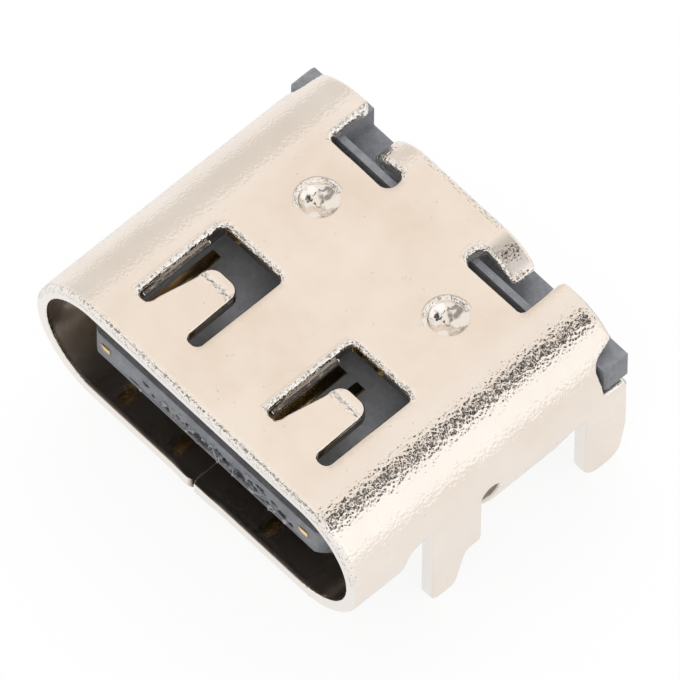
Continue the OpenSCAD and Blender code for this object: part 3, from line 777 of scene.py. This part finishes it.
class Finish(Nodes):
    """A material, worked out in its object's own coordinates."""

    def __init__(self, name):
        self.material = bpy.data.materials.new(name)
        self.material.use_nodes = True
        super().__init__(self.material.node_tree, "Object")
        self.shader = self.tree.nodes["Principled BSDF"]

    def feed(self, **inputs):
        """Links or sets inputs of the main shader."""
        for key, value in inputs.items():
            socket = self.shader.inputs[key.replace("_", " ")]
            if isinstance(value, Value):
                self.tree.links.new(value.socket, socket)
            else:
                socket.default_value = value
        return self.material


# %% Satin nickel
def satin_nickel():
    """Warm satin nickel: clouded and lightly specked on the roof, grainy on the round sides, bright and torn where it
    is rubbed (the brightness partly a painted highlight), pale on cut walls, and dark with painted shade on the inner
    face and shaded walls, least so at the far left end of the mouth, where the lighter tone is a painted reflection."""
    f = Finish("satin_nickel")
    cut, worn, inner = f.attribute("cut"), f.attribute("worn"), f.attribute("inner")
    x = f.make("ShaderNodeSeparateXYZ", {}, f.place, out="X")
    side = f.step(x.maths("ABSOLUTE", 0.0), 0.00265, 0.0031)
    outer_side = side * (1 - inner)
    clouds = f.noise(0.35, 3) * 0.6 + f.noise(1.1, 4) * 0.4
    colour = f.ramp(clouds, [(0.30, (0.81, 0.68, 0.565)), (0.5, (0.87, 0.755, 0.65)), (0.70, (0.91, 0.815, 0.725))])
    specks = f.step(f.noise(9, 2), 0.70, 0.76)
    colour = f.blend(specks * 0.35, colour, (0.45, 0.40, 0.34))
    # pale where rubbed: partly real rubbed plating, partly a painted highlight on edges and the springs' crests
    colour = f.blend(worn * 0.7, colour, (0.96, 0.93, 0.89))
    torn = f.noise(16, 1, 0.5)
    edge = f.step(worn, 0.30, 0.90)
    colour = f.blend(edge * f.step(1 - torn, 0.50, 0.66) * 0.7, colour, (0.30, 0.28, 0.26))
    colour = f.blend(cut, colour, (0.89, 0.85, 0.80))
    # painted shade on the inner face, the shaded walls and the +s wing, least at the far left end of the mouth, where
    # the lighter tone is a painted reflection
    shade = 0.10 + 0.75 * f.step(x, -0.0043, -0.0030)
    colour = f.blend(inner * shade, colour, (0.12, 0.10, 0.085))
    colour = f.blend(outer_side * 0.35, colour, (0.90, 0.85, 0.80))
    rough = f.step(worn, 0.0, 0.35).maths("MAXIMUM", outer_side * 0.8)
    beads = f.cells(14) * (0.8 * rough)
    grain = f.noise(13, 1.5, 0.5) * (0.2 + rough) + beads
    bump = f.bump(f.noise(5, 2, 0.5), 0.010, 0.8)
    bump = f.bump(grain, 0.009, after=bump)
    bump = f.bump(torn * edge, 0.028, after=bump)
    roughness = 0.12 + 0.06 * f.noise(3, 3) + 0.16 * side * inner
    return f.feed(Base_Color=colour, Metallic=1.0, Roughness=roughness, Normal=bump)


# %% Dark plastic
def moulded_plastic(name, dark, light, dusty=0.4):
    """Matte filled plastic with pale dust, painted shade in the broken-out pits and a painted highlight on the crumbs.
    """
    f = Finish(name)
    tone = f.noise(1.5, 4) * 0.5 + f.noise(9, 3) * 0.5
    colour = f.ramp(tone, [(0.35, dark), (0.7, light)])
    dust = f.step(f.noise(22, 2), 0.66, 0.74)
    colour = f.blend(dust * dusty, colour, tuple(min(1, 2.2 * c) for c in light))
    pit_shade_crumb_light = f.attribute("pit_shade_crumb_light")
    # painted shade in the pits and a painted highlight on the crumbs
    colour = f.blend(pit_shade_crumb_light.maths("MAXIMUM", 0.0) * 0.75, colour, (0.02, 0.02, 0.02))
    colour = f.blend((0 - pit_shade_crumb_light).maths("MAXIMUM", 0.0) * 0.8, colour, (0.42, 0.43, 0.45))
    roughness = 0.52 + 0.12 * f.noise(4, 2)
    return f.feed(Base_Color=colour, Roughness=roughness, Normal=f.bump(f.noise(12, 3), 0.006, 0.7))


# %% Gold and steel
def plated(name, deep, bright, roughness):
    """Rolled strip with faint lines along it."""
    f = Finish(name)
    colour = f.ramp(f.noise(2.5, 3), [(0.35, deep), (0.65, bright)])
    lines = f.bump(f.noise(3, 2, stretch=(8, 0.6, 1)), 0.002, 0.5)
    return f.feed(Base_Color=colour, Metallic=1.0, Roughness=roughness + 0.1 * f.noise(5, 2), Normal=lines)


# %% Dress the pieces
def dress(material, *pieces):
    """Makes a material the only one on each piece."""
    for piece in pieces:
        piece.data.materials.clear()
        piece.data.materials.append(material)


dress(satin_nickel(), shell)
dress(moulded_plastic("housing_plastic", (0.165, 0.170, 0.188), (0.275, 0.281, 0.300)), housing)
# the carriers are the housing's plastic, painted lighter to make up for the shade in the windows where they show
dress(moulded_plastic("carrier_plastic", (0.23, 0.235, 0.25), (0.34, 0.345, 0.36), 0.2), *carriers)
dress(plated("contact_gold", (0.75, 0.52, 0.20), (0.92, 0.72, 0.38), 0.20), *contacts)
dress(plated("spring_steel", (0.52, 0.51, 0.49), (0.66, 0.65, 0.63), 0.28), plate)

# %% [markdown]
# ## Floor, light and camera
# The socket stands on its legs on a pale floor. A soft lamp hangs behind and to the left. The world is a white light
# tent with one bright patch, two grey ones and a small dark one near the top, which the satin metal reflects.

# %% Floor
FLOOR_HALF, FLOOR_Z = 0.4, -LEG_DROP * 0.001 - 0.00001
corners = [(x * FLOOR_HALF, y * FLOOR_HALF, FLOOR_Z) for x, y in ((-1, -1), (1, -1), (1, 1), (-1, 1))]
floor_mesh = bpy.data.meshes.new("floor")
floor_mesh.from_pydata(corners, [], [(0, 1, 2, 3)])
floor = bpy.data.objects.new("floor", floor_mesh)
bpy.context.scene.collection.objects.link(floor)
paper = Finish("floor_paper")
paper.feed(Base_Color=(0.92, 0.92, 0.92, 1), Roughness=0.9)


def lit_for(ray, strength, share, under):
    """Adds a share of glow that only one kind of ray sees."""
    glow = paper.make("ShaderNodeEmission", {}, Strength=strength, out="Emission")
    return paper.make("ShaderNodeMixShader", {}, paper.value("ShaderNodeLightPath", ray) * share, under, glow)


card = lit_for("Is Glossy Ray", 0.96, 0.85, Value(paper, paper.shader.outputs[0]))
card = lit_for("Is Camera Ray", 1.0, 0.90, card)
paper.tree.links.new(card.socket, paper.tree.nodes["Material Output"].inputs[0])
dress(paper.material, floor)

# %% World
world = bpy.data.worlds.new("tent")
bpy.context.scene.world = world
world.use_nodes = True
sky = Nodes(world.node_tree, "Generated")


def patch(direction, rim, core):
    """1 in a round patch of the sky round a direction, 0 outside it: cosines of the angles where it fades."""
    d = Vector(direction).normalized()
    cosine = sky.make("ShaderNodeVectorMath", dict(operation="DOT_PRODUCT"), sky.place, tuple(d), out="Value")
    return sky.step(cosine, rim, core)


window_light = patch((0.80, 0.36, 0.47), 0.86, 0.95)
grey_wall = patch((-0.85, 0.36, 0.40), 0.85, 0.97)
grey_front = patch((-0.24, -0.44, 0.87), 0.86, 0.94)
overhead = patch((0.385, 0.357, 0.85), 0.974, 0.993)
tent = sky.blend(window_light, (1.0, 0.985, 0.965), (1.16, 1.20, 1.24))
tent = sky.blend(grey_wall * 0.22, tent, (0.20, 0.20, 0.20))
tent = sky.blend(grey_front * 0.85, tent, (0.20, 0.20, 0.20))
tent = sky.blend(overhead, tent, (0.02, 0.02, 0.02))
tent = sky.blend(sky.value("ShaderNodeLightPath", "Is Diffuse Ray"), tent, (0.80, 0.80, 0.80))
tent = sky.blend(sky.value("ShaderNodeLightPath", "Is Camera Ray"), tent, (1, 1, 1))
background = sky.tree.nodes["Background"]
sky.tree.links.new(tent.socket, background.inputs["Color"])
background.inputs["Strength"].default_value = 1.0

# %% Lamps
LAMP_DISTANCE = 0.06


def lamp(name, direction, size, power):
    """A square soft lamp that faces the part and doesn't show in its metal."""
    light = bpy.data.lights.new(name, "AREA")
    light.shape, light.size, light.energy = "SQUARE", size, power
    holder = bpy.data.objects.new(name, light)
    d = Vector(direction).normalized()
    holder.location = d * LAMP_DISTANCE
    holder.rotation_mode = "QUATERNION"
    holder.rotation_quaternion = d.to_track_quat("Z", "Y")
    bpy.context.scene.collection.objects.link(holder)
    holder.visible_glossy = False


lamp("softbox", (-0.45, 0.36, 0.82), 0.05, 0.016)
lamp("fill", (0.38, -0.36, 0.85), 0.02, 0.003)

# %% Camera
TARGET = np.array([0, 3.5, 1.5])
AZIMUTH, ELEVATION, ROLL = [math.radians(v) for v in (46.508, 58.761, 0.564)]
DISTANCE, VIEW_WIDTH = 537.0, 12.90812      # how far away the camera is, and the width that it sees at the target
SHIFT_RIGHT, SHIFT_UP = 0.185, 0.0964
SENSOR = 36.0
flat = math.cos(ELEVATION)
look = np.array([-flat * math.sin(AZIMUTH), flat * math.cos(AZIMUTH), -math.sin(ELEVATION)])
right = np.array([math.cos(AZIMUTH), math.sin(AZIMUTH), 0.0])
up = np.cross(right, look)
right, up = right * math.cos(ROLL) + up * math.sin(ROLL), up * math.cos(ROLL) - right * math.sin(ROLL)
aim = TARGET + SHIFT_RIGHT * right + SHIFT_UP * up
camera = bpy.data.objects.new("camera", bpy.data.cameras.new("camera"))
camera.data.sensor_width = SENSOR
camera.data.lens = SENSOR * DISTANCE / VIEW_WIDTH
camera.data.clip_start, camera.data.clip_end = 0.01, 5.0
eye = placed(aim - look * DISTANCE)
camera.matrix_world = Matrix([[right[k], up[k], -look[k], eye[k]] for k in range(3)] + [[0, 0, 0, 1]])
bpy.context.scene.collection.objects.link(camera)
bpy.context.scene.camera = camera
bpy.context.scene.view_settings.view_transform = "Standard"
print("lens, mm:", round(camera.data.lens, 1))
